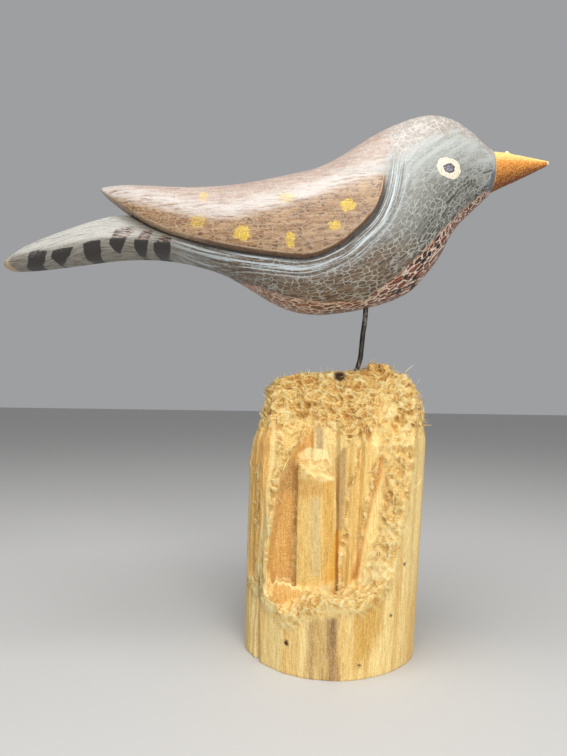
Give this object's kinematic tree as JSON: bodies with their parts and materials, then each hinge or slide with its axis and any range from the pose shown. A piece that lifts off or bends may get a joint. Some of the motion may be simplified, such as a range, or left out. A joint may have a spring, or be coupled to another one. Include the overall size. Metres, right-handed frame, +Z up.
{
  "type": "bird carving",
  "caption": "Painted wooden songbird on a bent wire leg, standing on a weathered, partly split log base.",
  "frame": {"origin": "centre of the log's flat underside", "axes": "+Z up, +X along the bird towards its beak, +Y towards the bird's left side"},
  "size_m": [0.2389, 0.0743, 0.2298],
  "materials": {
    "crackled_paint": "satin crackled paint over brown",
    "beak_paint": "rough matt orange paint",
    "dark_wire": "dark, lightly rusted",
    "weathered_wood": "bare, fibrous, split along the grain"
  },
  "bodies": {
    "root": {"bird_body": "crackled_paint", "beak": "beak_paint", "wire_leg": "dark_wire", "log_base": "weathered_wood"}
  },
  "joints": []
}
